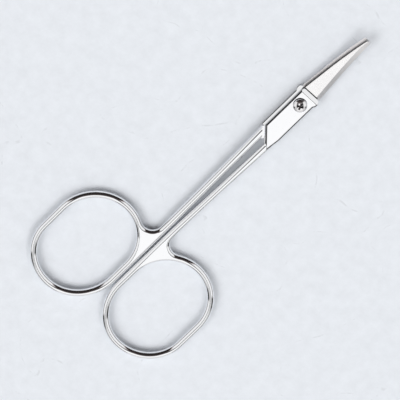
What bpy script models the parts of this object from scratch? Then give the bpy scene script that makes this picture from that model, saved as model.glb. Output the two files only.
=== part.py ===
"""Eyebrow scissors: two forged levers, each a blade and a finger ring in one piece, on one screw.

They lie flat and closed. Z is up, +Y runs from the pivot to the tips, +X is the front lever's side.
The origin is on the pivot axis, at the underside of the back lever.
"""

import math

import bmesh
import bpy
from mathutils import Matrix, Vector

MM = 0.001

# Lap joint: each lever is half as thick here, and the two halves lie on each other
PLATE_THICKNESS = 1.25 * MM
PLATE_OUTER = 2.54 * MM  # pivot to the plate's side that carries the cutting edge and the ring
PLATE_INNER = 2.20 * MM  # pivot to its other side
PLATE_CLEARANCE = 0.10 * MM  # between the two plates, and between the two blades
PLATE_EDGE = 0.12 * MM  # rounding of the plate's edges
SHOULDER_BACK = 10.80 * MM  # pivot to where the slanted shoulder's top edge crosses the long axis
SHOULDER_SLANT = math.radians(47.1)  # the shoulder's angle to the X axis
SHOULDER_BEVEL = 0.60 * MM
SHOULDER_CLEARANCE = 0.40 * MM  # from one lever's shoulder to the end of the other lever's shank
HEEL_LENGTH = 2.00 * MM
HEEL_BULGE = 0.36 * MM  # how far the heel swells past the plate's side

# Blade
BLADE_REACH = 21.8 * MM  # pivot to tip
BLADE_START = 3.50 * MM  # pivot to the step between plate and blade
BLADE_RAMP = 0.90 * MM  # length of the slope from the plate down to the blade
BLADE_BASE_WIDTH = 4.62 * MM
BLADE_TIP_WIDTH = 1.07 * MM
BLADE_BASE_OFFSET = 0.27 * MM  # how far its middle lies towards the cutting edge, at its base
BLADE_TIP_OFFSET = 0.43 * MM
BLADE_TIP_ROUND = 0.60 * MM
BLADE_THICKNESS = 0.90 * MM
BLADE_TIP_THICKNESS = 0.55 * MM
EDGE_BEVEL = 1.10 * MM  # width of the ground bevel along the cutting edge
BEVEL_SHARE = 0.75  # most that the bevel takes of the blade's width, near the tip
EDGE_LAND = 0.10 * MM  # thickness left at the cutting edge
BEND_START = 10.0 * MM  # the blades curve up from this distance to the pivot
BEND_RADIUS = 40.0 * MM

# Shank and finger ring
HANDLE_LENGTH = 71.95 * MM  # pivot to the far end of the ring
RING_LENGTH = 27.8 * MM
RING_WIDTH = 21.95 * MM
RING_THICKNESS = 1.76 * MM
RING_SPACING = 0.30 * MM  # between the two rings, and between the shanks beside them
WIRE_WIDTH = 1.72 * MM
SHANK_WIDTH = 1.82 * MM
SHANK_OUTER = 2.55 * MM  # long axis to the shank's outer side, where the shank meets the joint
SHANK_STRAIGHT = 3.0 * MM  # from the ring's near end to where the shanks start to part
NECK_RADIUS = 2.6 * MM  # inside corner between the ring and the shank
RIM_RADIUS = 0.55 * MM  # rounding of the ring's and the shank's edges

# Shape of the ring: the share of its length that each rounded quarter takes
NEAR_SHARE = 0.403
FAR_INNER_SHARE = 0.420
FAR_OUTER_SHARE = 0.380

# Screw
SCREW_DIAMETER = 2.00 * MM
SCREW_CLEARANCE = 0.05 * MM  # all round the screw in both levers
HEAD_DIAMETER = 3.20 * MM
HEAD_HEIGHT = 1.00 * MM
HEAD_RIM = 0.30 * MM  # height of the head's straight side
HEAD_CLEARANCE = 0.10 * MM  # under the head
RECESS_SPAN = 1.60 * MM
RECESS_ARM = 0.42 * MM
RECESS_DEPTH = 0.60 * MM
RECESS_TAPER = 0.50  # share of the recess's width that is left at its bottom
RECESS_TURN = math.radians(22.0)

# Steps of the curved outlines
QUARTER_STEPS = 14
NECK_STEPS = 6
HEEL_STEPS = 6
BLADE_STEPS = 14
TIP_STEPS = 4
RIM_STEPS = 1
ROUND_STEPS = 48
DOME_STEPS = 7

SHARP_ANGLE = math.radians(30.0)  # edges that turn more than this are shaded sharp
OVERLAP = 0.50 * MM  # how far pieces of one forging run into each other before they are joined

# Places that follow from the sizes
PLANE_HEIGHT = PLATE_THICKNESS + PLATE_CLEARANCE / 2  # of the plane between the levers
SHOULDER_SLOPE = math.tan(SHOULDER_SLANT)
RING_INNER_X = RING_SPACING / 2
RING_MIDDLE_X = RING_INNER_X + RING_WIDTH / 2
RING_FAR_Y = -HANDLE_LENGTH
RING_NEAR_Y = RING_FAR_Y + RING_LENGTH
KNEE_Y = RING_NEAR_Y + SHANK_STRAIGHT
HOLE_RADIUS = SCREW_DIAMETER / 2 + SCREW_CLEARANCE


def clear_scene():
    """Remove what the scene holds."""
    for old in list(bpy.data.objects):
        bpy.data.objects.remove(old, do_unlink=True)


def new_collection(name, hidden=False):
    """A collection in the scene, left out of renders if hidden."""
    collection = bpy.data.collections.new(name)
    collection.hide_render = hidden
    bpy.context.scene.collection.children.link(collection)
    return collection


def metal(name, colour, roughness):
    """A plain metal."""
    material = bpy.data.materials.new(name)
    material.use_nodes = True
    shader = material.node_tree.nodes["Principled BSDF"]
    shader.inputs["Base Color"].default_value = (*colour, 1.0)
    shader.inputs["Metallic"].default_value = 1.0
    shader.inputs["Roughness"].default_value = roughness
    return material


def add_object(name, mesh, collection, matrix):
    """An object of this mesh, placed by a matrix."""
    made = bpy.data.objects.new(name, mesh)
    collection.objects.link(made)
    made.matrix_world = matrix
    return made


def add_helper(name, mesh, collection, matrix):
    """An object that is only cut from another, or joined to it."""
    helper = add_object(name, mesh, collection, matrix)
    helper.hide_render = True
    helper.display_type = "WIRE"
    return helper


def add_boolean(target, other, operation):
    """Join the other object to the target, or cut it from the target."""
    boolean = target.modifiers.new(other.name, "BOOLEAN")
    boolean.object = other
    boolean.operation = operation
    boolean.solver = "EXACT"


def mesh_from(bm, name):
    """Turn a bmesh into a mesh with its faces pointing out."""
    bmesh.ops.recalc_face_normals(bm, faces=bm.faces)
    mesh = bpy.data.meshes.new(name)
    bm.to_mesh(mesh)
    bm.free()
    mesh.shade_smooth()
    mesh.set_sharp_from_angle(angle=SHARP_ANGLE)
    return mesh


def arc(centre, reach, first, last, steps=QUARTER_STEPS):
    """Points along part of an ellipse, between two angles in degrees."""
    points = []
    for step in range(steps + 1):
        angle = math.radians(first + (last - first) * step / steps)
        points.append((centre[0] + reach[0] * math.cos(angle), centre[1] + reach[1] * math.sin(angle)))
    return points


def ring_outline(inset, near_end):
    """The ring's outline, inset from its outside, from its inner side round the far end to the near end.

    near_end is the angle at which the near inner quarter stops: 180 closes the loop.
    """
    half_width = RING_WIDTH / 2 - inset
    near = RING_LENGTH * NEAR_SHARE
    far_inner = RING_LENGTH * FAR_INNER_SHARE
    far_outer = RING_LENGTH * FAR_OUTER_SHARE
    near_centre = (RING_MIDDLE_X, RING_NEAR_Y - near)
    inner_centre = (RING_MIDDLE_X, RING_FAR_Y + far_inner)
    outer_centre = (RING_MIDDLE_X, RING_FAR_Y + far_outer)
    points = arc(inner_centre, (half_width, far_inner - inset), 180, 270)
    points += arc(outer_centre, (half_width, far_outer - inset), 270, 360)[1:]
    points += arc(near_centre, (half_width, near - inset), 0, 90)
    points += arc(near_centre, (half_width, near - inset), 90, near_end)[1:]
    return points


def shank_inner_x(y):
    """Where the shank's inner side is, at a place along it."""
    joint_y = shank_end_y(SHANK_OUTER)
    joint_x = SHANK_OUTER - SHANK_WIDTH
    share = max(0.0, (y - KNEE_Y) / (joint_y - KNEE_Y))
    return RING_INNER_X + (joint_x - RING_INNER_X) * share


def shoulder_y(x, back=0.0):
    """The slanted shoulder of this lever's plate, or a line so far behind it."""
    return -SHOULDER_BACK - back / math.cos(SHOULDER_SLANT) - x * SHOULDER_SLOPE


def shank_end_y(x):
    """The end of the full thickness, clear of the other lever's shoulder, which slants the other way."""
    return shoulder_y(-x, SHOULDER_BEVEL + SHOULDER_CLEARANCE)


def handle_outline():
    """Outside of the finger ring, its neck and the shank."""
    shank_outer = RING_INNER_X + SHANK_WIDTH
    near = RING_LENGTH * NEAR_SHARE
    neck_x = shank_outer + NECK_RADIUS
    cosine = (neck_x - RING_MIDDLE_X) / (RING_WIDTH / 2 + NECK_RADIUS)
    meeting = math.acos(cosine)
    neck_y = RING_NEAR_Y - near + (near + NECK_RADIUS) * math.sin(meeting)
    outline = ring_outline(0.0, math.degrees(meeting))
    last_x, last_y = outline[-1]
    start = math.degrees(math.atan2(last_y - neck_y, last_x - neck_x))
    neck = arc((neck_x, neck_y), (NECK_RADIUS, NECK_RADIUS), start, -180, NECK_STEPS)
    outline += neck[1:]
    outline.append((shank_outer, KNEE_Y))
    outline.append((SHANK_OUTER, shank_end_y(SHANK_OUTER)))
    shank_inner = SHANK_OUTER - SHANK_WIDTH
    outline.append((shank_inner, shank_end_y(shank_inner)))
    outline.append((RING_INNER_X, KNEE_Y))
    return outline


def plate_outline():
    """Outside of the half of the lap joint, from the shoulder to the step of the blade."""
    root_y = shank_end_y(SHANK_OUTER) - SHANK_WIDTH
    root_x = shank_inner_x(root_y) + RIM_RADIUS
    outline = [
        (root_x, shoulder_y(root_x, SHOULDER_BEVEL)),
        (SHANK_OUTER - RIM_RADIUS, shoulder_y(root_x, SHOULDER_BEVEL)),
        (PLATE_OUTER, root_y + SHANK_WIDTH / 2),
    ]
    heel_radius = ((HEEL_LENGTH / 2) ** 2 + HEEL_BULGE**2) / (2 * HEEL_BULGE)
    heel_centre = (PLATE_OUTER + HEEL_BULGE - heel_radius, BLADE_START - HEEL_LENGTH / 2)
    swing = math.degrees(math.asin(HEEL_LENGTH / 2 / heel_radius))
    outline += arc(heel_centre, (heel_radius, heel_radius), -swing, swing, HEEL_STEPS)
    outline += [(-PLATE_INNER, BLADE_START), (-PLATE_INNER, shoulder_y(-PLATE_INNER, SHOULDER_BEVEL))]
    return outline


def outline_mesh(name, loops, thickness, rim):
    """A flat outline with a thickness, centred on z = 0, its edges rounded by rim."""
    curve = bpy.data.curves.new(name, "CURVE")
    curve.dimensions = "2D"
    curve.fill_mode = "BOTH"
    curve.extrude = thickness / 2 - rim
    curve.bevel_depth = rim
    curve.bevel_resolution = RIM_STEPS
    curve.offset = -rim
    for points in loops:
        spline = curve.splines.new("POLY")
        spline.points.add(len(points) - 1)
        spline.use_cyclic_u = True
        for point, (x, y) in zip(spline.points, points):
            point.co = (x, y, 0.0, 1.0)
    flat = bpy.data.objects.new(name, curve)
    bpy.context.scene.collection.objects.link(flat)
    graph = bpy.context.evaluated_depsgraph_get()
    mesh = bpy.data.meshes.new_from_object(flat.evaluated_get(graph))
    bpy.data.objects.remove(flat, do_unlink=True)
    bm = bmesh.new()
    bm.from_mesh(mesh)
    bmesh.ops.remove_doubles(bm, verts=bm.verts, dist=0.001 * MM)
    return mesh_from(bm, name)


def slice_off(mesh, point, normal):
    """Cut away what lies beyond a plane, on the side its normal points to."""
    bm = bmesh.new()
    bm.from_mesh(mesh)
    everything = bm.verts[:] + bm.edges[:] + bm.faces[:]
    cut = bmesh.ops.bisect_plane(bm, geom=everything, plane_co=point, plane_no=normal, clear_outer=True)
    rim = [item for item in cut["geom_cut"] if isinstance(item, bmesh.types.BMEdge)]
    bmesh.ops.edgeloop_fill(bm, edges=rim)
    bmesh.ops.recalc_face_normals(bm, faces=bm.faces)
    bm.to_mesh(mesh)
    bm.free()


def plate_mesh(name):
    """Half of the lap joint, with its bevelled shoulder and the slope down to the blade."""
    mesh = outline_mesh(name, [plate_outline()], PLATE_THICKNESS, PLATE_EDGE)
    mesh.transform(Matrix.Translation((0, 0, PLANE_HEIGHT - PLATE_THICKNESS / 2)))
    across = Vector((-math.sin(SHOULDER_SLANT), -math.cos(SHOULDER_SLANT), 0.0))
    shoulder = Vector((0.0, -SHOULDER_BACK, PLANE_HEIGHT))
    slice_off(mesh, shoulder, across + Vector((0.0, 0.0, 1.0)))
    drop = PLATE_THICKNESS - BLADE_THICKNESS
    ramp_top = Vector((0.0, BLADE_START - BLADE_RAMP, PLANE_HEIGHT))
    slice_off(mesh, ramp_top, Vector((0.0, drop, BLADE_RAMP)))
    return mesh


def blade_section(y, middle, half_width, thickness, bevel, bend):
    """Corners of the blade's section at a place along it, from the spine's underside round to its top."""
    low = PLATE_CLEARANCE / 2
    spine = middle - half_width
    edge = middle + half_width
    corners = [
        (spine, low),
        (edge, low),
        (edge, low + EDGE_LAND),
        (edge - bevel, low + thickness),
        (spine, low + thickness),
    ]
    section = []
    for x, z in corners:
        past = max(0.0, math.hypot(x, y) - BEND_START)
        section.append((x, y, z + bend * past**2 / (2 * BEND_RADIUS)))
    return section


def blade_mesh(name, bend):
    """A tapering blade, flat on its inner face and bevelled along its cutting edge.

    bend is 1 where the blade curves towards its outer face, and -1 where it curves the other way.
    """
    straight_end = BLADE_REACH - BLADE_TIP_ROUND
    stations = [(BLADE_START - OVERLAP, 0.0, 1.0), (BLADE_START, 0.0, 1.0)]
    for step in range(1, BLADE_STEPS + 1):
        share = step / BLADE_STEPS
        stations.append((BLADE_START + (straight_end - BLADE_START) * share, share, 1.0))
    for step in range(1, TIP_STEPS):
        turn = math.radians(90 * step / TIP_STEPS)
        stations.append((straight_end + BLADE_TIP_ROUND * math.sin(turn), 1.0, math.cos(turn)))
    bm = bmesh.new()
    before = None
    for y, share, narrowing in stations:
        half_width = (BLADE_BASE_WIDTH + (BLADE_TIP_WIDTH - BLADE_BASE_WIDTH) * share) / 2
        half_width *= narrowing
        middle = BLADE_BASE_OFFSET + (BLADE_TIP_OFFSET - BLADE_BASE_OFFSET) * share
        thickness = BLADE_THICKNESS + (BLADE_TIP_THICKNESS - BLADE_THICKNESS) * share
        bevel = min(EDGE_BEVEL, 2 * half_width * BEVEL_SHARE)
        corners = blade_section(y, middle, half_width, thickness, bevel, bend)
        section = [bm.verts.new(corner) for corner in corners]
        if before is None:
            bm.faces.new(section)
        else:
            for index in range(len(section)):
                after = (index + 1) % len(section)
                bm.faces.new((before[index], before[after], section[after], section[index]))
        before = section
    bm.faces.new(before)
    bmesh.ops.triangulate(bm, faces=bm.faces)
    return mesh_from(bm, name)


def hole_mesh(name):
    """Cutter for the screw's hole."""
    bm = bmesh.new()
    bmesh.ops.create_cone(
        bm,
        cap_ends=True,
        segments=ROUND_STEPS,
        radius1=HOLE_RADIUS,
        radius2=HOLE_RADIUS,
        depth=4 * PLANE_HEIGHT,
    )
    return mesh_from(bm, name)


def make_lever(name, turned, material, parts, helpers):
    """One forged lever. The back one is turned half a turn about its length."""
    matrix = Matrix.Translation((0.0, 0.0, PLANE_HEIGHT))
    if turned:
        matrix = matrix @ Matrix.Rotation(math.pi, 4, "Y")
    loops = [handle_outline(), ring_outline(WIRE_WIDTH, 180)]
    mesh = outline_mesh(name, loops, 2 * PLANE_HEIGHT, RIM_RADIUS)
    # The ring is a little thinner than the joint, and the shank slopes from one to the other
    for vert in mesh.vertices:
        if vert.co.y < KNEE_Y + RIM_RADIUS:
            vert.co.z *= RING_THICKNESS / (2 * PLANE_HEIGHT)
    mesh.materials.append(material)
    lever = add_object(name, mesh, parts, matrix)
    plate = add_helper(name + "_plate", plate_mesh(name + "_plate"), helpers, matrix)
    blade = blade_mesh(name + "_blade", -1 if turned else 1)
    blade = add_helper(name + "_blade", blade, helpers, matrix)
    hole = add_helper(name + "_hole", hole_mesh(name + "_hole"), helpers, matrix)
    add_boolean(lever, plate, "UNION")
    add_boolean(lever, blade, "UNION")
    add_boolean(lever, hole, "DIFFERENCE")
    return lever


def screw_profile():
    """Half section of the screw, from the top of its head down its outside to the tail."""
    head = HEAD_DIAMETER / 2
    seat = 2 * PLANE_HEIGHT + HEAD_CLEARANCE
    dome = HEAD_HEIGHT - HEAD_RIM
    dome_radius = (head**2 + dome**2) / (2 * dome)
    swing = math.asin(head / dome_radius)
    middle = seat + HEAD_HEIGHT - dome_radius
    profile = []
    for step in range(DOME_STEPS + 1):
        angle = swing * step / DOME_STEPS
        profile.append((dome_radius * math.sin(angle), middle + dome_radius * math.cos(angle)))
    profile += [(head, seat), (SCREW_DIAMETER / 2, seat), (SCREW_DIAMETER / 2, 0.0), (0.0, 0.0)]
    return profile


def recess_arm_mesh(name):
    """Cutter for one arm of the cross recess, narrower and shorter at its bottom."""
    bm = bmesh.new()
    for vert in bmesh.ops.create_cube(bm, size=1.0)["verts"]:
        above = vert.co.z > 0
        vert.co.x *= RECESS_SPAN if above else RECESS_SPAN * RECESS_TAPER
        vert.co.y *= RECESS_ARM if above else RECESS_ARM * RECESS_TAPER
        vert.co.z *= 2 * RECESS_DEPTH
    return mesh_from(bm, name)


def make_screw(name, material, parts, helpers):
    """The pivot screw: a domed head with a cross recess, and a shank that ends flush with the underside."""
    mesh = bpy.data.meshes.new(name)
    profile = screw_profile()
    edges = [(index, index + 1) for index in range(len(profile) - 1)]
    mesh.from_pydata([(x, 0.0, z) for x, z in profile], edges, [])
    mesh.materials.append(material)
    screw = add_object(name, mesh, parts, Matrix.Identity(4))
    turned = screw.modifiers.new("turned", "SCREW")
    turned.axis = "Z"
    turned.steps = ROUND_STEPS
    turned.render_steps = ROUND_STEPS
    turned.use_merge_vertices = True
    turned.merge_threshold = 0.001 * MM
    top = Matrix.Translation((0.0, 0.0, 2 * PLANE_HEIGHT + HEAD_CLEARANCE + HEAD_HEIGHT))
    for arm_name, turn in (("_arm_a", RECESS_TURN), ("_arm_b", RECESS_TURN + math.pi / 2)):
        arm = recess_arm_mesh(name + arm_name)
        arm = add_helper(name + arm_name, arm, helpers, top @ Matrix.Rotation(turn, 4, "Z"))
        add_boolean(screw, arm, "DIFFERENCE")
    return screw


def main():
    """Build the scissors."""
    clear_scene()
    parts = new_collection("eyebrow_scissors")
    helpers = new_collection("cutters", hidden=True)
    plating = metal("bright_plating", (0.86, 0.87, 0.88), 0.08)
    steel = metal("screw_steel", (0.62, 0.62, 0.63), 0.22)
    make_lever("front_lever", False, plating, parts, helpers)
    make_lever("back_lever", True, plating, parts, helpers)
    make_screw("pivot_screw", steel, parts, helpers)


main()
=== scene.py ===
"""The looks of the eyebrow scissors: fine meshes of the levers and the pivot screw, and a small studio.

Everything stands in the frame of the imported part, in metres. The origin is on the pivot axis at the
underside of the back lever, +Y runs to the tips, +X to the front lever's ring, and Z is up.
"""

import logging
import math
from dataclasses import dataclass, field
from enum import Enum

import bmesh
import bpy
from bmesh.types import BMEdge, BMesh, BMVert
from bpy.types import ID, Material, Mesh, Node, NodeSocket, NodeTree, Object
from mathutils import Matrix, Vector


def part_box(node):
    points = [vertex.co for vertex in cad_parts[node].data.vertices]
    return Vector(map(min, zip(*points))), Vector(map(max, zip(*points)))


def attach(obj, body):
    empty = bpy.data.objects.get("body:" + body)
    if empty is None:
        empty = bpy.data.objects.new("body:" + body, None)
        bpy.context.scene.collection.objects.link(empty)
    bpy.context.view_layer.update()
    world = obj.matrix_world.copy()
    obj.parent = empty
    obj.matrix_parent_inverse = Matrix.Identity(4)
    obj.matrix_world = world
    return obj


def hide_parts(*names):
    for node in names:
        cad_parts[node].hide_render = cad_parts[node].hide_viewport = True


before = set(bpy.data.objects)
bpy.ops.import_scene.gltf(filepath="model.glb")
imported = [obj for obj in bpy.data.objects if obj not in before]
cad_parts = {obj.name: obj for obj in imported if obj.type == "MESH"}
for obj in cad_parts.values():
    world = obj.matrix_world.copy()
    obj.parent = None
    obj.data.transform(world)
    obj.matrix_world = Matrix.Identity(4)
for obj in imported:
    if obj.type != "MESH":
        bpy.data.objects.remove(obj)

MM = 0.001
SHARP_ANGLE = math.radians(20.0)  # edges sharper than this stay sharp
FLAT_WEIGHT = 60  # how much the large faces lead the shading, of 100
CLOUDS = 0.35 / MM  # scale of the clouds in the plating and the floor
SENSOR = 36.0  # width of the camera's sensor, in millimetres
UP = Vector((0.0, 0.0, 1.0))
INNER_SPINE, RIDGE, OUTER_SPINE = 0, 3, 4  # places of three corners in the blade's section
PAINTED_SHADE_SLOT = 1  # place of the painted shade of the recess and the head's side in the screw's list of materials

logger = logging.getLogger("scissors")

Point = tuple[float, float]
Colour = tuple[float, float, float]
Value = NodeSocket | float
Inputs = dict[str | int, Value | Vector | tuple[float, ...]]


class Surface(Enum):
    """Which finish a face of a lever has, by its place in the mesh's list of materials."""

    POLISHED = 0
    FACE = 1
    GROUND = 2
    # painted shade: a dark coat on edge roundings, outer walls, creases, the groove and the blade's spine
    SIDE = 3


class Side(Enum):
    """Which of the two levers a forging becomes."""

    FRONT = "front"
    BACK = "back"


@dataclass
class Nodes:
    """The nodes of a material or of the world, and sums with their values."""

    tree: NodeTree  # the node tree

    def put(self, node: Node, inputs: Inputs) -> None:
        """Fill a node's sockets.

        Args:
            node: The node.
            inputs: For each socket, by name or number, its value or the socket that it is linked to.
        """
        for name, value in inputs.items():
            if isinstance(value, NodeSocket):
                self.tree.links.new(value, node.inputs[name])
            else:
                node.inputs[name].default_value = value

    def add(self, kind: str, result: str, inputs: Inputs, **settings: str) -> NodeSocket:
        """Add a node.

        Args:
            kind: Its kind.
            result: Name of the output that is wanted.
            inputs: What goes into its sockets.
            settings: Its other settings.

        Returns:
            The output.
        """
        node = self.tree.nodes.new(f"ShaderNode{kind}")
        for name, setting in settings.items():
            setattr(node, name, setting)
        self.put(node, inputs)
        return node.outputs[result]

    def noise(self, place: Value, **inputs: float) -> NodeSocket:
        """Soft noise at a place."""
        return self.add("TexNoise", "Fac", {"Vector": place, **inputs})

    def bump(self, height: Value, depth: float, **inputs: Value) -> NodeSocket:
        """A bumpy normal, with its depth in millimetres."""
        return self.add("Bump", "Normal", {"Height": height, "Distance": depth * MM, **inputs})

    def mix(self, share: Value, first: Value | Colour, second: Value | Colour) -> NodeSocket:
        """The first colour where the share is 0, and the second where it is 1."""
        return self.add("Mix", "Result", {"Factor": share, "A": first, "B": second}, data_type="RGBA")

    def calculate(self, kind: str, first: Value, second: Value) -> NodeSocket:
        """Join two values by one of the Math node's operations."""
        return self.add("Math", "Value", {0: first, 1: second}, operation=kind)

    def times(self, first: Value, second: Value) -> NodeSocket:
        """The product of two values."""
        return self.calculate("MULTIPLY", first, second)

    def distance(self, value: Value, middle: float) -> NodeSocket:
        """How far a value lies from another, on either side."""
        return self.calculate("ABSOLUTE", self.calculate("SUBTRACT", value, middle), 0.0)

    def ramp(self, value: Value, span: Point, ends: Point = (0.0, 1.0), kind: str = "SMOOTHSTEP") -> Value:
        """A change from one end to the other, while a value runs through a span.

        Args:
            value: The value.
            span: Where the change starts and stops.
            ends: What comes out before the start and after the stop.
            kind: Course of the change.

        Returns:
            What comes out.
        """
        inputs = {"Value": value, "From Min": span[0], "From Max": span[1]}
        inputs |= {"To Min": ends[0], "To Max": ends[1]}
        return self.add("MapRange", "Result", inputs, interpolation_type=kind)

    def blend(self, share: Value, first: Value, second: Value) -> NodeSocket:
        """The first value where the share is 0, and the second where it is 1."""
        rest = self.calculate("SUBTRACT", 1.0, share)
        return self.calculate("ADD", self.times(rest, first), self.times(share, second))

    def towards(self, sight: Value, direction: Vector) -> NodeSocket:
        """How far a direction of sight points along another."""
        return self.add("VectorMath", "Value", {0: sight, 1: direction}, operation="DOT_PRODUCT")


def shaded(colour: Colour, share: float = 1.0) -> tuple[float, ...]:
    """An opaque colour, darkened or lightened by a factor."""
    return (*(share * channel for channel in colour), 1.0)


def new_finish(name: str) -> tuple[Material, Nodes, Node]:
    """Make a material.

    Args:
        name: Its name.

    Returns:
        The material, its nodes and its shader.
    """
    made = bpy.data.materials.new(name)
    made.use_nodes = True
    return made, Nodes(made.node_tree), made.node_tree.nodes["Principled BSDF"]


@dataclass(frozen=True)
class Grain:
    """Fine marks that a wheel leaves in metal."""

    length: float  # length of one mark, in millimetres
    width: float  # width of one mark, in millimetres
    angle: float  # direction of the marks, in degrees from the X axis
    depth: float  # depth of the marks, in millimetres
    shade: float  # how much the marks change the roughness
    detail: float = 3.0  # how fine the marks get
    span: Point = (0.3, 0.7)  # values of the noise between which the roughness changes


@dataclass(frozen=True)
class Plating:
    """Bright plating over steel, as polished or as ground, or a dark coat that paints shade."""

    name: str  # name of the material
    colour: Colour  # colour that the metal gives to what it mirrors
    roughness: float  # how much it spreads what it mirrors
    waves: float  # height of the soft waves that polishing leaves, in millimetres
    grain: Grain  # the marks in the surface
    metal: float = 1.0  # 1 for bare metal, and 0 for a dull coat, which the painted shade on the sides uses
    cloud: float = 0.965  # what is left of the colour in the darkest clouds
    cloud_detail: float = 4.0  # how fine the clouds get

    def material(self) -> Material:
        """Make the metal.

        Returns:
            The new material.
        """
        made, nodes, shader = new_finish(self.name)
        grain = self.grain
        place = nodes.add("TexCoord", "Object", {})
        turn = (0.0, 0.0, -math.radians(grain.angle))
        turned = nodes.add("Mapping", "Vector", {"Vector": place, "Rotation": turn})
        long_way, short_way = 1.0 / (grain.length * MM), 1.0 / (grain.width * MM)
        scale = (long_way, short_way, short_way)
        stretched = nodes.add("Mapping", "Vector", {"Vector": turned, "Scale": scale})
        marks = nodes.noise(stretched, Scale=1.0, Detail=grain.detail)
        clouds = nodes.noise(place, Scale=CLOUDS, Detail=self.cloud_detail)
        ends = (self.roughness * (1.0 - grain.shade), self.roughness * (1.0 + grain.shade))
        soft = nodes.bump(clouds, self.waves)
        nodes.put(shader, {
            "Metallic": self.metal,
            "Roughness": nodes.ramp(marks, grain.span, ends, "LINEAR"),
            "Base Color": nodes.mix(clouds, shaded(self.colour, self.cloud), shaded(self.colour)),
            "Normal": nodes.bump(marks, grain.depth, Normal=soft),
        })
        return made


@dataclass(frozen=True)
class Board:
    """Pale board, softly mottled, with a few faint scratches."""

    name: str = "pale_board"  # name of the material
    colour: Colour = (0.78, 0.81, 0.853)  # its colour
    contrast: float = 0.10  # how much darker and lighter its mottles are
    detail: float = 8.0  # how fine the mottles get
    fineness: float = 0.65  # how strong the fine mottles are
    roughness: float = 0.65  # how much it spreads what it mirrors
    shine: float = 0.25  # how much it mirrors
    scratches: float = 0.03  # how many scratches there are, per millimetre
    scratch_bend: float = 0.6  # how much they bend
    scratch_line: float = 0.5  # value of their noise along which they run
    scratch_fade: Point = (0.004, 0.0015)  # distances from that value at which they end and start
    scratch_span: Point = (0.50, 0.62)  # values of the mottles between which the scratches come up

    def material(self) -> Material:
        """Make the board's finish.

        Returns:
            The new material.
        """
        made, nodes, shader = new_finish(self.name)
        place = nodes.add("TexCoord", "Object", {})
        mottle = nodes.noise(place, Scale=CLOUDS, Detail=self.detail, Roughness=self.fineness)
        wander = nodes.noise(place, Scale=self.scratches / MM, Distortion=self.scratch_bend)
        line = nodes.ramp(nodes.distance(wander, self.scratch_line), self.scratch_fade)
        scratch = nodes.times(line, nodes.ramp(mottle, self.scratch_span))
        dark, light = shaded(self.colour, 1.0 - self.contrast), shaded(self.colour, 1.0 + self.contrast)
        nodes.put(shader, {
            "Roughness": self.roughness,
            "Specular IOR Level": self.shine,
            "Base Color": nodes.mix(scratch, nodes.mix(mottle, dark, light), dark),
        })
        return made


POLISH = Plating("polished_plating", (0.93, 0.935, 0.95), 0.03, 0.0012, Grain(3.0, 0.12, 80.0, 0.0002, 0.5))
FACE = Plating("ground_blade_face", (0.99, 0.98, 0.98), 0.24, 0.0006, Grain(1.6, 0.05, 8.0, 0.0007, 0.12))
EDGE = Plating("ground_edge", (0.93, 0.91, 0.91), 0.38, 0.0006, Grain(0.9, 0.045, 12.0, 0.0030, 0.25))
# Painted shade: a near-black dull coat on edge roundings, outer walls, creases, the groove and the blade's
# spine, in place of the shaded reflections along them.
SIDE = Plating("painted_shade_sides", (0.02, 0.02, 0.022), 0.45, 0.0006, Grain(0.6, 0.05, 90.0, 0.0010, 0.25), 0.0)
# Painted shade: a dark coat in the screw's cross recess and on the side of its head, in place of the shade
# and dark reflections there.
RECESS_PAINTED_SHADE = Plating("recess_painted_shade", (0.09, 0.08, 0.085), 0.30, 0.0010, Grain(0.4, 0.06, 20.0, 0.0010, 0.30))
SCREW = Plating("turned_steel", (0.90, 0.89, 0.90), 0.14, 0.0010, Grain(0.8, 0.04, 30.0, 0.0008, 0.4))


def raised(points: list[Point], height: float) -> list[Vector]:
    """Points of a plan as places at a height."""
    return [Vector((x, y, height)) for x, y in points]


def along(centre: Point, reach: Point, first: float, last: float, steps: int) -> list[Point]:
    """Points along part of an ellipse.

    Args:
        centre: Middle of the ellipse.
        reach: Its reach along X and along Y.
        first: Angle of the first point, in degrees.
        last: Angle of the last point, in degrees.
        steps: How many steps lie between them.

    Returns:
        The points, both ends among them.
    """
    points = []
    for step in range(steps + 1):
        angle = math.radians(first + (last - first) * step / steps)
        x, y = reach[0] * math.cos(angle), reach[1] * math.sin(angle)
        points.append((centre[0] + x, centre[1] + y))
    return points


def straight(start: Point, end: Point, pitch: float) -> list[Point]:
    """Points on a line after its start, up to its end, no further apart than the pitch."""
    steps = max(1, math.ceil(math.dist(start, end) / pitch))
    return [
        (start[0] + (end[0] - start[0]) * step / steps, start[1] + (end[1] - start[1]) * step / steps)
        for step in range(1, steps + 1)
    ]


def eased(value: float, low: float, high: float) -> float:
    """0 below low, 1 above high, and a smooth rise between them."""
    share = min(1.0, max(0.0, (value - low) / (high - low)))
    return share * share * (3.0 - 2.0 * share)


def round_corner(before: Point, corner: Point, after: Point, reach: float, steps: int) -> list[Point]:
    """Points that round a corner off.

    Args:
        before: A point on the line to the corner.
        corner: The corner.
        after: A point on the line from the corner.
        reach: How far from the corner the rounding starts and ends.
        steps: How many steps the rounding has.

    Returns:
        The points, both ends among them.
    """
    middle = Vector(corner)
    start = middle + (Vector(before) - middle).normalized() * reach
    end = middle + (Vector(after) - middle).normalized() * reach
    points = []
    for step in range(steps + 1):
        share = step / steps
        place = start.lerp(middle, share).lerp(middle.lerp(end, share), share)
        points.append((place.x, place.y))
    return points


def inset_loop(loop: list[Point], inset: float) -> list[Point]:
    """Move a loop's line to its left.

    Args:
        loop: The loop's corners, in order.
        inset: How far the line moves.

    Returns:
        The moved corners.
    """
    moved = []
    for index, (x, y) in enumerate(loop):
        before = Vector((x, y)) - Vector(loop[index - 1])
        after = Vector(loop[(index + 1) % len(loop)]) - Vector((x, y))
        left = Vector((-before.y, before.x)).normalized() + Vector((-after.y, after.x)).normalized()
        left *= 2.0 * inset / left.length_squared
        moved.append((x + left.x, y + left.y))
    return moved


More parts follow.
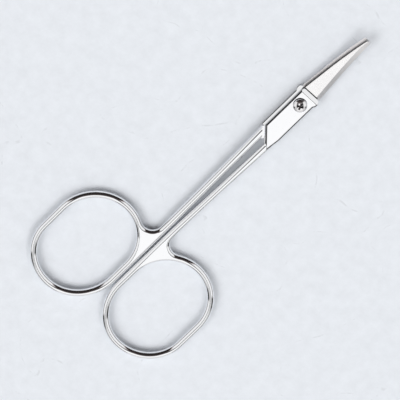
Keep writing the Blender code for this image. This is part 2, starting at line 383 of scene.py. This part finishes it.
def draw_out(bm: BMesh, rows: list[list[Vector]]) -> tuple[list, list]:
    """Extrude a closed loop from row to row. Each vertex keeps its place in the row as its "corner".

    Args:
        bm: The mesh that the skin goes into.
        rows: The places of the loop in each row.

    Returns:
        The edges of the first row and those of the last.
    """
    corner = bm.verts.layers.int.get("corner") or bm.verts.layers.int.new("corner")
    loop = [bm.verts.new(place) for place in rows[0]]
    for index, vert in enumerate(loop):
        vert[corner] = index
    first = [bm.edges.new((loop[index - 1], vert)) for index, vert in enumerate(loop)]
    last = first
    for row in rows[1:]:
        grown = bmesh.ops.extrude_edge_only(bm, edges=last)["geom"]
        moved = {item for item in grown if isinstance(item, BMVert)}
        for vert in moved:
            vert.co = row[vert[corner]]
        edges = [item for item in grown if isinstance(item, BMEdge)]
        last = [edge for edge in edges if moved.issuperset(edge.verts)]
    return first, last


def fill(bm: BMesh, edges: list[BMEdge]) -> None:
    """Close the flat area between loops of edges."""
    bmesh.ops.triangle_fill(bm, use_beauty=True, use_dissolve=False, edges=edges)


def cut_off(bm: BMesh, point: Vector, normal: Vector, surface: Surface = Surface.POLISHED) -> None:
    """Cut away what lies on the side of a plane that its normal points to, and close the cut.

    Args:
        bm: The mesh that is cut.
        point: A point on the plane.
        normal: The plane's normal.
        surface: The finish of the cut.
    """
    everything = bm.verts[:] + bm.edges[:] + bm.faces[:]
    cut = bmesh.ops.bisect_plane(bm, geom=everything, plane_co=point, plane_no=normal, clear_outer=True)
    rim = [item for item in cut["geom_cut"] if isinstance(item, BMEdge)]
    for face in bmesh.ops.edgeloop_fill(bm, edges=rim)["faces"]:
        face.material_index = surface.value
    bmesh.ops.recalc_face_normals(bm, faces=bm.faces)


def mesh_of(bm: BMesh, name: str, matrix: Matrix | None = None) -> Mesh:
    """Finish a bmesh as a mesh with its faces pointing out.

    Args:
        bm: The bmesh, which is freed.
        name: Name of the mesh.
        matrix: Where it goes.

    Returns:
        The mesh.
    """
    if matrix is not None:
        bmesh.ops.transform(bm, matrix=matrix, verts=bm.verts)
    bmesh.ops.recalc_face_normals(bm, faces=bm.faces)
    mesh = bpy.data.meshes.new(name)
    bm.to_mesh(mesh)
    bm.free()
    return mesh


def shown(name: str, data: ID) -> Object:
    """Put a mesh, a lamp or a camera into the scene.

    Args:
        name: Name of the object.
        data: What it shows.

    Returns:
        The object.
    """
    made = bpy.data.objects.new(name, data)
    bpy.context.scene.collection.objects.link(made)
    return made


def joined(body: Mesh, added: list[Mesh], cut: list[Mesh], finishes: list[Material]) -> Mesh:
    """Join meshes into one closed body and cut others from it.

    Args:
        body: The mesh to start from.
        added: Meshes that are joined to it.
        cut: Meshes that are cut from it.
        finishes: The materials of them all.

    Returns:
        The new mesh.
    """
    for mesh in [body, *added, *cut]:
        for finish in finishes:
            mesh.materials.append(finish)
    target = shown(body.name, body)
    helpers = []
    for mesh in added + cut:
        helper = shown(mesh.name, mesh)
        helpers.append(helper)
        boolean = target.modifiers.new(mesh.name, "BOOLEAN")
        boolean.object = helper
        boolean.operation = "UNION" if mesh in added else "DIFFERENCE"
        boolean.solver = "MANIFOLD"
    graph = bpy.context.evaluated_depsgraph_get()
    made = bpy.data.meshes.new_from_object(target.evaluated_get(graph))
    for helper in [target, *helpers]:
        bpy.data.objects.remove(helper, do_unlink=True)
    return made


def placed(name: str, mesh: Mesh) -> Object:
    """Make a mesh an object of the scene, smooth but for its sharp edges.

    Args:
        name: Name of the piece.
        mesh: Its mesh, in place, in millimetres.

    Returns:
        The piece.
    """
    mesh.transform(Matrix.Scale(MM, 4))
    mesh.shade_smooth()
    mesh.set_sharp_from_angle(angle=SHARP_ANGLE)
    piece = shown(name, mesh)
    weighted = piece.modifiers.new("flat faces stay flat", "WEIGHTED_NORMAL")
    weighted.keep_sharp = True
    weighted.weight = FLAT_WEIGHT
    logger.info("%s: %d faces", name, len(mesh.polygons))
    return piece


@dataclass
class Handle:
    """The finger ring and the shank of one forging, in millimetres, about the plane between the levers."""

    far_end: float  # pivot to the far end of the ring
    outer_side: float  # long axis to the ring's far side
    ring_length: float = 27.8  # length of the ring
    spacing: float = 0.30  # between the two rings
    wire: float = 1.74  # width of the ring's wire
    ring_height: float = 0.88  # half the thickness of the ring
    shank_height: float = 1.30  # half the thickness of the shank at the joint
    shank: float = 1.82  # width of the shank
    shank_outer: float = 2.55  # long axis to the shank's outer side, at the joint
    knee: float = 3.0  # from the ring's near end to where the shanks start to part
    neck: float = 2.6  # radius of the inside corner between ring and shank
    near_share: float = 0.403  # share of the ring's length that its near quarters take
    far_inner_share: float = 0.420  # the same for the far quarter next to the long axis
    far_outer_share: float = 0.380  # the same for the other far quarter
    crown: float = 0.84  # how far the rounding reaches in from the wire's side
    fullness: float = 1.75  # exponent of the wire's rounded section: 2 is an ellipse, more is boxier
    joint_fullness: float = 0.30  # power by which the section gets boxier towards the joint
    joint_blend: float = 26.0  # length of shank over which it gets boxier
    steps: int = 40  # steps of each rounded quarter of the ring
    rounds: int = 12  # steps of the rounded section, from its side to its top
    pitch: float = 0.6  # longest step along a straight side

    @property
    def inner_x(self) -> float:
        """The ring's side next to the long axis."""
        return self.spacing / 2

    @property
    def near_y(self) -> float:
        """The ring's near end."""
        return -self.far_end + self.ring_length

    @property
    def knee_y(self) -> float:
        """Where the shanks start to part."""
        return self.near_y + self.knee

    def ring(self, inset: float, near_end: float) -> list[Point]:
        """The ring's outline, from its inner side round the far end to the near end.

        Args:
            inset: How far the line lies inside the ring's outside.
            near_end: Angle at which the near inner quarter stops. 180 closes the loop.

        Returns:
            The points of the outline.
        """
        half_width = (self.outer_side - self.inner_x) / 2
        middle = self.inner_x + half_width
        near = self.ring_length * self.near_share
        far_inner = self.ring_length * self.far_inner_share
        far_outer = self.ring_length * self.far_outer_share
        reach = half_width - inset
        near_centre = (middle, self.near_y - near)
        inner_centre = (middle, far_inner - self.far_end)
        outer_centre = (middle, far_outer - self.far_end)
        points = along(inner_centre, (reach, far_inner - inset), 180, 270, self.steps)
        points += along(outer_centre, (reach, far_outer - inset), 270, 360, self.steps)[1:]
        points += along(near_centre, (reach, near - inset), 0, 90, self.steps)
        points += along(near_centre, (reach, near - inset), 90, near_end, self.steps)[1:]
        return points

    def outline(self, shank_end: "Shoulder") -> list[Point]:
        """Outside of the ring, its neck and the shank.

        Args:
            shank_end: The shoulder that the shank ends at. The outline runs on past it.

        Returns:
            The corners, in order.
        """
        half_width = (self.outer_side - self.inner_x) / 2
        near = self.ring_length * self.near_share
        shank_outer = self.inner_x + self.shank
        neck_x = shank_outer + self.neck
        meeting = math.acos((neck_x - self.inner_x - half_width) / (half_width + self.neck))
        neck_y = self.near_y - near + (near + self.neck) * math.sin(meeting)
        points = self.ring(0.0, math.degrees(meeting))
        start = math.degrees(math.atan2(points[-1][1] - neck_y, points[-1][0] - neck_x))
        points += along((neck_x, neck_y), (self.neck, self.neck), start, -180, self.steps // 2)[1:]
        shank_inner = self.shank_outer - self.shank
        end = shank_end.facing(self.shank_outer) + 2 * self.crown
        long_step = 2 * self.wire
        corners = [
            ((shank_outer, self.knee_y), self.pitch),
            ((self.shank_outer, end - self.wire), self.pitch),
            ((self.shank_outer, end), long_step),
            ((shank_inner, end), long_step),
            ((shank_inner, end - self.wire), long_step),
            ((self.inner_x, self.knee_y), self.pitch),
            (points[0], self.pitch),
        ]
        for corner, step in corners:
            points += straight(points[-1], corner, step)
        return points[:-1]

    def section(self) -> list[Point]:
        """How far in and how high the wire's rounded side is, from its underside to its top."""
        half_wire = self.wire / 2
        widest = math.acos((1.0 - self.crown / half_wire) ** (self.fullness / 2.0))
        points = []
        for step in range(-self.rounds, self.rounds + 1):
            angle = widest * step / self.rounds
            inset = half_wire * (1.0 - math.cos(angle) ** (2.0 / self.fullness))
            rise = self.ring_height * (abs(math.sin(angle)) / math.sin(widest)) ** (2.0 / self.fullness)
            points.append((inset, math.copysign(rise, step)))
        return points

    def lift(self, place: Vector, full_from: float) -> float:
        """Height of a point of the section at its place along the handle.

        Args:
            place: The point, with the section of the ring.
            full_from: Y at which the shank has its full, boxier section.

        Returns:
            The point's height.
        """
        low, high = self.ring_height, self.shank_height
        share = min(1.0, max(0.0, (place.y - self.near_y) / (full_from - self.near_y)))
        boxier = eased(place.y, full_from - self.joint_blend, full_from)
        power = 1.0 + (self.joint_fullness - 1.0) * boxier
        height = (abs(place.z) / low) ** power
        return math.copysign(height * (low + (high - low) * share), place.z)

    def mesh(self, shank_end: "Shoulder") -> Mesh:
        """Make the ring and the shank.

        Args:
            shank_end: The shoulder that the shank ends at.

        Returns:
            The mesh, about the plane between the levers.
        """
        outside = self.outline(shank_end)
        hole = self.ring(self.wire, 180)
        bm = bmesh.new()
        outer_rows = [raised(inset_loop(outside, inset), height) for inset, height in self.section()]
        inner_rows = [raised(inset_loop(hole, -inset), height) for inset, height in self.section()]
        outer_ends, inner_ends = draw_out(bm, outer_rows), draw_out(bm, inner_rows)
        for outer_end, inner_end in zip(outer_ends, inner_ends):
            fill(bm, outer_end + inner_end)
        bmesh.ops.recalc_face_normals(bm, faces=bm.faces)
        full_from = shank_end.facing(self.shank_outer)
        for vert in bm.verts:
            vert.co.z = self.lift(vert.co, full_from)
        slant = math.radians(shank_end.slant)
        end = Vector((0.0, shank_end.facing(0.0), 0.0))
        cut_off(bm, end, Vector((-math.sin(slant), math.cos(slant), 0.0)))
        return mesh_of(bm, "handle")


@dataclass
class Shoulder:
    """The slanted shoulder at the back of the lap joint, in millimetres."""

    back: float = 10.80  # pivot to where its top edge crosses the long axis
    slant: float = 47.1  # its angle to the X axis, in degrees
    bevel: float = 0.60  # width of its bevel
    fall: float = 1.0  # how far the bevel falls per length
    clearance: float = 0.40  # from it to the other lever's shank

    def own(self, x: float, behind: float = 0.0) -> float:
        """Y of this lever's shoulder at an x, or of a line so far behind it."""
        angle = math.radians(self.slant)
        return -self.back - behind / math.cos(angle) - x * math.tan(angle)

    def facing(self, x: float) -> float:
        """Y where this lever's shank ends, clear of the other lever's shoulder."""
        return self.own(-x, self.bevel + self.clearance)


@dataclass
class Plate:
    """The half of the lap joint that belongs to one forging, in millimetres."""

    outer: float = 2.54  # pivot to the side with the cutting edge
    inner: float = 2.20  # pivot to the other side
    low: float = 0.05  # height of its inner face over the plane between the levers
    high: float = 1.30  # height of its outer face
    rounding: float = 0.34  # rounding of its outer face's edges
    rounding_steps: int = 5  # steps of that rounding
    round_face: Point = (0.05, 0.99)  # a face whose upward share lies between these gets painted shade
    side_face: float = 0.9  # a face that points to the cutting edge's side by more than this gets painted shade too
    crease: float = 0.10  # width of the crease above the shoulder's bevel, painted dark as shade
    ledge: float = 0.38  # width of the bevel on its inner face, on the side with the cutting edge
    ledge_tilt: float = 30.0  # slope of that bevel, in degrees
    corner: float = 0.80  # rounding of its corners beside the blade
    corner_steps: int = 8  # steps of that rounding
    end: float = 3.50  # pivot to its step down to the blade
    ramp: float = 0.90  # length of the slope before the step
    ramp_drop: float = 0.52  # how far the slope comes down
    ramp_crease: float = 0.04  # width of the crease above the slope, painted dark as shade
    heel_length: float = 2.0  # length of the swelling beside the blade
    heel_bulge: float = 0.36  # how far it swells
    heel_end: float = 0.2  # share of its second half that is left before the corner's rounding
    heel_steps: int = 12  # steps along it
    hole: float = 1.05  # radius of the screw's hole
    groove: float = 0.30  # width of the groove between the plate and the blade
    groove_depth: float = 0.30  # its depth below the blade's face
    groove_reach: float = 0.02  # how far the groove reaches into the plate
    weld: float = 0.002  # corners that are nearer than this become one

    def outline(self, shoulder: Shoulder, handle: Handle) -> list[Point]:
        """Outside of the plate, from its root on the shank round to the shoulder.

        Args:
            shoulder: Its shoulder.
            handle: The handle that it grows from.

        Returns:
            The corners, in order.
        """
        root_y = shoulder.facing(handle.shank_outer) - handle.shank
        root_x = handle.shank_outer - handle.shank / 2
        radius = ((self.heel_length / 2) ** 2 + self.heel_bulge**2) / (2 * self.heel_bulge)
        centre = (self.outer + self.heel_bulge - radius, self.end - self.heel_length / 2)
        swing = math.degrees(math.asin(self.heel_length / 2 / radius))
        points = [
            (root_x, shoulder.own(root_x, shoulder.bevel)),
            (root_x + handle.shank / 4, root_y - handle.shank),
            (self.outer, root_y + handle.shank),
        ]
        points += along(centre, (radius, radius), -swing, swing * self.heel_end, self.heel_steps)
        heel, front = (self.outer, self.end), (-self.inner, self.end)
        back = (-self.inner, shoulder.own(-self.inner, shoulder.bevel))
        points += round_corner(points[-1], heel, front, self.corner, self.corner_steps)
        points += round_corner(points[-1], front, back, self.corner, self.corner_steps)
        points.append(back)
        return points

    def slope(self, bm: BMesh, start: Vector, facing: Vector, fall: float, crease: float) -> None:
        """Cut a slope from the outer face, with a crease along its start that gets painted shade.

        Args:
            bm: The plate.
            start: A point on the slope's upper edge.
            facing: The way that it falls.
            fall: How far it falls per length.
            crease: Width of the crease.
        """
        half_way = Vector((facing.x * fall / 2, facing.y * fall / 2, 1.0))
        cut_off(bm, start - facing * crease, half_way, Surface.SIDE)
        cut_off(bm, start, Vector((facing.x * fall, facing.y * fall, 1.0)))

    def mesh(self, shoulder: Shoulder, handle: Handle) -> Mesh:
        """Make the plate.

        Args:
            shoulder: Its shoulder.
            handle: The handle that it grows from.

        Returns:
            The mesh, about the plane between the levers.
        """
        loop = self.outline(shoulder, handle)
        rows = [raised(loop, self.low)]
        centre, reach = (self.rounding, self.high - self.rounding), (-self.rounding, self.rounding)
        for x, z in along(centre, reach, 0, 90, self.rounding_steps):
            rows.append(raised(inset_loop(loop, x), z))
        bm = bmesh.new()
        for end in draw_out(bm, rows):
            fill(bm, end)
        bmesh.ops.recalc_face_normals(bm, faces=bm.faces)
        # the edge roundings and the outer wall get painted shade: dark lines in place of shaded reflections
        flat, level = self.round_face
        for face in bm.faces:
            if flat < abs(face.normal.z) < level or face.normal.x > self.side_face:
                face.material_index = Surface.SIDE.value
        slant = math.radians(shoulder.slant)
        backwards = Vector((-math.sin(slant), -math.cos(slant), 0.0))
        self.slope(bm, Vector((0.0, -shoulder.back, self.high)), backwards, shoulder.fall, self.crease)
        ramp = Vector((0.0, self.end - self.ramp, self.high))
        self.slope(bm, ramp, Vector((0.0, 1.0, 0.0)), self.ramp_drop / self.ramp, self.ramp_crease)
        tilt = math.radians(self.ledge_tilt)
        ledge = Vector((self.outer - self.ledge, 0.0, self.low))
        cut_off(bm, ledge, Vector((math.sin(tilt), 0.0, -math.cos(tilt))))
        bmesh.ops.remove_doubles(bm, verts=bm.verts, dist=self.weld)
        bmesh.ops.triangulate(bm, faces=bm.faces)
        return mesh_of(bm, "plate")


@dataclass
class Blade:
    """The blade of one forging, in millimetres."""

    tip: float = 21.76  # pivot to the tip
    start: float = 3.50  # pivot to the step at its base
    base_width: float = 4.62  # width at the base
    tip_width: float = 1.07  # width just before the tip's rounding
    base_middle: float = 0.27  # how far its middle lies towards the cutting edge, at the base
    tip_middle: float = 0.43  # the same at the tip
    tip_round: float = 0.60  # length of the tip's rounding
    low: float = 0.05  # height of its inner face over the plane between the levers
    thickness: float = 0.90  # thickness at the base
    tip_thickness: float = 0.55  # thickness at the tip
    ground: float = 1.10  # width of the ground bevel along the cutting edge
    ground_share: float = 0.75  # most that the bevel takes of the blade's width, near the tip
    land: float = 0.10  # thickness left at the cutting edge
    bend_from: float = 10.0  # distance to the pivot from which the blade bends up
    bend_radius: float = 40.0  # radius of the bend
    bend: int = 1  # 1 where it bends towards its outer face, and -1 where it bends the other way
    steps: int = 48  # steps along it
    tip_steps: int = 10  # steps of the tip's rounding

    def section(self, y: float, share: float, narrowing: float) -> list[Vector]:
        """Corners of the section at a place along the blade.

        Args:
            y: Its distance from the pivot along the long axis.
            share: How far along the straight part it is, from 0 to 1.
            narrowing: What the tip's rounding leaves of its width.

        Returns:
            The corners, from the spine's inner edge round to its outer edge.
        """
        half = (self.base_width + (self.tip_width - self.base_width) * share) / 2 * narrowing
        middle = self.base_middle + (self.tip_middle - self.base_middle) * share
        high = self.low + self.thickness + (self.tip_thickness - self.thickness) * share
        ground = min(self.ground, 2 * half * self.ground_share)
        corners = [
            (middle - half, self.low),
            (middle + half, self.low),
            (middle + half, self.low + self.land),
            (middle + half - ground, high),
            (middle - half, high),
        ]
        places = []
        for x, z in corners:
            past = max(0.0, math.hypot(x, y) - self.bend_from)
            lift = self.bend * past**2 / (2 * self.bend_radius)
            places.append(Vector((x, y, z + lift)))
        return places

    def stations(self) -> list[tuple[float, float, float]]:
        """Find where the sections lie.

        Returns:
            Place, share and narrowing of each section.
        """
        straight_end = self.tip - self.tip_round
        found = []
        for step in range(self.steps + 1):
            share = step / self.steps
            found.append((self.start + (straight_end - self.start) * share, share, 1.0))
        for step in range(1, self.tip_steps):
            turn = math.radians(90.0 * step / self.tip_steps)
            found.append((straight_end + self.tip_round * math.sin(turn), 1.0, math.cos(turn)))
        return found

    def mesh(self) -> Mesh:
        """Make the blade by drawing its section out along it.

        Returns:
            The mesh, about the plane between the levers.
        """
        bm = bmesh.new()
        for end in draw_out(bm, [self.section(*station) for station in self.stations()]):
            fill(bm, end)
        corner = bm.verts.layers.int["corner"]
        for face in bm.faces:
            found = {vert[corner] for vert in face.verts}
            if found == {RIDGE, OUTER_SPINE}:
                face.material_index = Surface.FACE.value
            # the spine's wall gets painted shade
            elif found == {INNER_SPINE, OUTER_SPINE}:
                face.material_index = Surface.SIDE.value
            else:
                face.material_index = Surface.GROUND.value
        bmesh.ops.recalc_face_normals(bm, faces=bm.faces)
        return mesh_of(bm, "blade")


@dataclass
class Lever:
    """One forging of the scissors: blade, plate, shank and ring in one piece."""

    side: Side  # which lever it is
    plane: float  # height of the plane between the levers, in millimetres
    handle: Handle  # its ring and shank
    blade: Blade  # its blade
    shoulder: Shoulder = field(default_factory=Shoulder)  # its shoulder
    plate: Plate = field(default_factory=Plate)  # its half of the lap joint
    hole_steps: int = 96  # steps round the screw's hole

    def hole(self) -> Mesh:
        """Make the cutter for the screw's hole.

        Returns:
            The cutter.
        """
        bm = bmesh.new()
        ends = {"radius1": self.plate.hole, "radius2": self.plate.hole}
        depth = 4 * self.plane
        bmesh.ops.create_cone(bm, cap_ends=True, segments=self.hole_steps, depth=depth, **ends)
        return mesh_of(bm, "hole")

    def groove(self) -> Mesh:
        """Make the cutter for the groove between the plate and the blade.

        Returns:
            The cutter.
        """
        bm = bmesh.new()
        plate = self.plate
        bottom = self.blade.low + self.blade.thickness - plate.groove_depth
        low = Vector((-2 * plate.outer, plate.end - plate.groove_reach, bottom))
        high = Vector((2 * plate.outer, plate.end + plate.groove, 2 * plate.high))
        bmesh.ops.create_cube(bm, size=1.0)
        # the groove's faces get painted shade
        for face in bm.faces:
            face.material_index = Surface.SIDE.value
        matrix = Matrix.Translation((low + high) / 2) @ Matrix.Diagonal((*(high - low), 1.0))
        return mesh_of(bm, "groove", matrix)

    def build(self, finishes: list[Material]) -> Object:
        """Make the lever, in place of its CAD node.

        Args:
            finishes: Its materials, in the order of Surface.

        Returns:
            The piece.
        """
        turned = self.side is Side.BACK
        body = self.handle.mesh(self.shoulder)
        added = [self.plate.mesh(self.shoulder, self.handle), self.blade.mesh()]
        mesh = joined(body, added, [self.hole(), self.groove()], finishes)
        matrix = Matrix.Translation((0.0, 0.0, self.plane))
        if turned:
            matrix = matrix @ Matrix.Rotation(math.pi, 4, "Y")
        mesh.transform(matrix)
        piece = placed(f"{self.side.value}_forging", mesh)
        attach(piece, self.side.value)
        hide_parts(f"{self.side.value}_lever")
        return piece


@dataclass
class PivotScrew:
    """The screw in the joint, in millimetres."""

    top: float  # height of the top of its head
    seat: float = 2.70  # height of the underside of its head
    head: float = 1.60  # radius of its head
    rim: float = 0.30  # height of the head's side
    undercut: float = 0.18  # how far the side comes in towards the underside of the head
    shank: float = 1.0  # radius of its shank
    tail: float = 0.08  # bevel at the end of its shank
    recess: float = 2.20  # span of the cross recess
    arm: float = 0.62  # width of one arm of the recess
    depth: float = 0.60  # depth of the recess
    taper: float = 0.50  # share of its size that the recess keeps at its bottom
    turn: float = 22.0  # how far the recess is turned, in degrees
    rounds: int = 128  # steps round the screw
    dome_steps: int = 24  # steps of its dome, from the rim to the middle
    weld: float = 0.0005  # corners that are nearer than this become one

    def profile(self) -> list[Point]:
        """Find half of the screw's section.

        Returns:
            Its corners, from the middle of the tail to the top of the head.
        """
        rim = self.seat + self.rim
        points = [
            (0.0, 0.0),
            (self.shank - self.tail, 0.0),
            (self.shank, self.tail),
            (self.shank, self.seat),
            (self.head - self.undercut, self.seat),
            (self.head, rim - self.undercut),
        ]
        points += along((0.0, rim), (self.head, self.top - rim), 0, 90, self.dome_steps)
        return points

    def cross(self, turn: float) -> Mesh:
        """Make the cutter for one bar of the cross recess.

        Args:
            turn: Its direction, in degrees.

        Returns:
            The cutter.
        """
        bm = bmesh.new()
        for vert in bmesh.ops.create_cube(bm, size=1.0)["verts"]:
            above = vert.co.z > 0
            vert.co.x *= self.recess if above else self.recess * self.taper
            vert.co.y *= self.arm if above else self.arm * self.taper
            vert.co.z *= 2 * self.depth
        # the recess's faces get painted shade
        for face in bm.faces:
            face.material_index = PAINTED_SHADE_SLOT
        matrix = Matrix.Translation((0.0, 0.0, self.top)) @ Matrix.Rotation(math.radians(turn), 4, "Z")
        return mesh_of(bm, "recess", matrix)

    def build(self, finishes: list[Material]) -> Object:
        """Turn the screw and cut its recess.

        Args:
            finishes: Its material, and the painted shade of its recess and its rim.

        Returns:
            The piece.
        """
        bm = bmesh.new()
        verts = [bm.verts.new((x, 0.0, z)) for x, z in self.profile()]
        edges = [bm.edges.new(pair) for pair in zip(verts, verts[1:])]
        bmesh.ops.spin(
            bm,
            geom=verts + edges,
            axis=UP,
            cent=(0.0, 0.0, 0.0),
            angle=2 * math.pi,
            steps=self.rounds,
            use_merge=True,
            use_duplicate=False,
        )
        bmesh.ops.remove_doubles(bm, verts=bm.verts, dist=self.weld)
        # the side of the head gets painted shade
        for face in bm.faces:
            if self.seat < face.calc_center_median().z < self.seat + self.rim:
                face.material_index = PAINTED_SHADE_SLOT
        body = mesh_of(bm, "screw")
        mesh = joined(body, [], [self.cross(self.turn), self.cross(self.turn + 90.0)], finishes)
        piece = placed("crosshead_screw", mesh)
        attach(piece, "back")
        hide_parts("pivot_screw")
        return piece


@dataclass
class Studio:
    """The floor, the light and the camera of the photo."""

    heading: float = 46.2  # direction of +Y in the picture, in degrees above its horizontal
    lean: float = 21.7  # how far the camera leans from straight down, in degrees
    lens: float = 398.8  # focal length, in millimetres
    scale: float = 0.2248  # size of a pixel at the pivot, in millimetres
    pivot_pixel: Point = (300.0, 103.2)  # where the pivot meets the plane between the levers
    plane: float = 1.3  # height of that plane, in millimetres
    pixels: int = 400  # width and height of the picture, in pixels
    clip: Point = (0.05, 20.0)  # the nearest and the farthest that the camera sees, in metres
    board: Board = Board()  # the floor's finish
    floor_size: float = 0.45  # half the side of the floor, in metres
    floor_gap: float = 0.02  # how far the floor lies below the scissors, in millimetres
    right: Vector = field(init=False)  # the picture's right, on the floor
    away: Vector = field(init=False)  # the picture's top, on the floor

    def __post_init__(self) -> None:
        """Work out the picture's directions on the floor."""
        heading = math.radians(self.heading)
        self.right = Vector((math.sin(heading), math.cos(heading), 0.0))
        self.away = Vector((-math.cos(heading), math.sin(heading), 0.0))

    def camera(self) -> None:
        """Put the camera where the photo's was."""
        lean = math.radians(self.lean)
        top = self.away * math.cos(lean) - UP * math.sin(lean)
        back = self.away * math.sin(lean) + UP * math.cos(lean)
        pixel = self.scale * MM
        distance = self.lens / SENSOR * self.pixels * pixel
        middle = self.pixels / 2
        aside = self.right * (self.pivot_pixel[0] - middle) * pixel
        up = top * (middle - self.pivot_pixel[1]) * pixel
        aim = UP * (self.plane * MM) - aside - up
        data = bpy.data.cameras.new("camera")
        data.lens = self.lens
        data.sensor_width = SENSOR
        data.clip_start, data.clip_end = self.clip
        camera = shown("camera", data)
        turned = Matrix((self.right, top, back)).transposed().to_4x4()
        camera.matrix_world = Matrix.Translation(aim + back * distance) @ turned
        bpy.context.scene.camera = camera

    def floor(self) -> None:
        """Lay the pale floor."""
        bm = bmesh.new()
        bmesh.ops.create_grid(bm, x_segments=1, y_segments=1, size=self.floor_size)
        mesh = mesh_of(bm, "floor", Matrix.Translation(UP * (-self.floor_gap * MM)))
        mesh.materials.append(self.board.material())
        floor = shown("floor", mesh)

    def build(self) -> None:
        """Set up the floor, the camera and the light."""
        self.floor()
        self.camera()
        Tent(self.right, self.away).build()


@dataclass(frozen=True)
class Lamp:
    """A broad lamp, far away."""

    name: str  # its name
    left: float  # how far it leans from straight above towards the picture's left, in degrees
    down: float  # how far it leans towards the picture's bottom, in degrees
    power: float  # its brightness
    spread: float  # its apparent size, in degrees


@dataclass
class Tent:
    """The light tent: a strip overhead, side panels, and an opening at the picture's top.

    Places are parts of a unit vector, towards the picture's top or to either side.
    """

    right: Vector  # the picture's right, on the floor
    away: Vector  # the picture's top, on the floor
    strip: float = 1.05  # brightness of the strip overhead
    strip_end: float = 0.75  # brightness of its low end, at the picture's bottom
    strip_dims: Point = (-0.97, -0.60)  # where it dims
    strip_reach: float = 0.32  # how far it reaches to each side
    strip_soft: float = 0.03  # half the width of its soft sides
    panel: float = 0.92  # brightness of the side panels
    corner: float = 0.68  # brightness of the panels in the lower corners
    foot: float = 0.05  # share of it that is left at the panels' foot
    foot_height: Point = (0.06, 0.36)  # heights between which it fades to that share
    gap: float = 0.04  # brightness of the gaps between panels
    seam: Point = (0.14, 0.085)  # end and start of the gap along the strip, from the strip's side
    seam_start: Point = (-0.55, -0.40)  # where that gap starts
    gap_place: float = 0.48  # how far down the gap beside the corners lies
    gap_soft: float = 0.04  # half the width over which the panels change there
    gap_width: Point = (0.16, 0.08)  # end and start of that gap, from its middle
    gap_start: Point = (0.50, 0.80)  # where it starts, to each side
    opening_high: float = 0.14  # brightness of the opening's upper end
    opening_low: float = 0.025  # brightness of its lower end
    opening_span: Point = (0.1, 0.6)  # where one changes to the other
    opening_start: Point = (0.02, 0.12)  # where it starts
    opening_slant: float = 1.15  # how fast it widens
    opening_soft: Point = (-0.14, 0.10)  # its soft sides, from where they start to where they stop
    opening_tint: Colour = (1.15, 0.97, 0.95)  # colour of what is seen in it
    lamps: tuple[Lamp, ...] = (  # the lamps
        Lamp("left_lamp", 38.0, 15.0, 1.20, 40.0),
        Lamp("right_lamp", -20.0, 26.0, 0.78, 36.0),
    )

    def world(self) -> None:
        """Paint the tent round the scene."""
        world = bpy.data.worlds.new("tent")
        world.use_nodes = True
        bpy.context.scene.world = world
        nodes = Nodes(world.node_tree)
        sight = nodes.add("TexCoord", "Generated", {})
        aside = nodes.distance(nodes.towards(sight, self.right), 0.0)
        north = nodes.towards(sight, self.away)
        height = nodes.towards(sight, UP)

        reach, place = self.strip_reach, -self.gap_place
        beside = nodes.ramp(aside, (reach - self.strip_soft, reach + self.strip_soft))
        overhead = nodes.ramp(north, self.strip_dims, (self.strip_end, self.strip))
        in_corner = nodes.ramp(north, (place + self.gap_soft, place - self.gap_soft))
        panels = nodes.blend(in_corner, self.panel, self.corner)
        panels = nodes.times(panels, nodes.ramp(height, self.foot_height, (self.foot, 1.0)))
        light = nodes.blend(beside, overhead, panels)

        seam = nodes.ramp(nodes.distance(aside, reach), self.seam)
        seam = nodes.times(seam, nodes.ramp(north, self.seam_start))
        light = nodes.blend(seam, light, self.gap)
        across = nodes.ramp(nodes.distance(north, place), self.gap_width)
        across = nodes.times(across, nodes.ramp(aside, self.gap_start))
        light = nodes.blend(across, light, self.gap)

        wedge = nodes.calculate("SUBTRACT", nodes.times(north, self.opening_slant), aside)
        opening = nodes.ramp(wedge, self.opening_soft)
        opening = nodes.times(nodes.ramp(north, self.opening_start), opening)
        inside = nodes.ramp(north, self.opening_span, (self.opening_high, self.opening_low))
        light = nodes.blend(opening, light, inside)
        tint = nodes.mix(opening, shaded((1.0, 1.0, 1.0)), shaded(self.opening_tint))
        nodes.put(world.node_tree.nodes["Background"], {"Color": tint, "Strength": light})

    def hang(self, lamp: Lamp) -> None:
        """Hang a lamp.

        Args:
            lamp: The lamp.
        """
        data = bpy.data.lights.new(lamp.name, "SUN")
        data.energy = lamp.power
        data.angle = math.radians(lamp.spread)
        down, left = math.tan(math.radians(lamp.down)), math.tan(math.radians(lamp.left))
        back = UP - (self.away * down + self.right * left)
        hung = shown(lamp.name, data)
        hung.matrix_world = back.to_track_quat("Z", "Y").to_matrix().to_4x4()
        hung.visible_glossy = False

    def build(self) -> None:
        """Put up the tent and its lamps."""
        self.world()
        for lamp in self.lamps:
            self.hang(lamp)


def main() -> None:
    """Build the scissors and the studio."""
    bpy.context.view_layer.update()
    low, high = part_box("front_lever")
    _, screw_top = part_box("pivot_screw")
    finishes = [plating.material() for plating in (POLISH, FACE, EDGE, SIDE)]
    studio = Studio()
    for side in Side:
        handle = Handle(far_end=-low.y / MM, outer_side=high.x / MM)
        blade = Blade(bend=-1 if side is Side.BACK else 1)
        Lever(side, studio.plane, handle, blade).build(finishes)
    PivotScrew(top=screw_top.z / MM).build([SCREW.material(), RECESS_PAINTED_SHADE.material()])
    studio.build()
    bpy.context.scene.view_settings.view_transform = "Standard"
    logger.info("built the scissors and the studio")


if __name__ == "__main__":
    logging.basicConfig(level=logging.INFO)
    main()
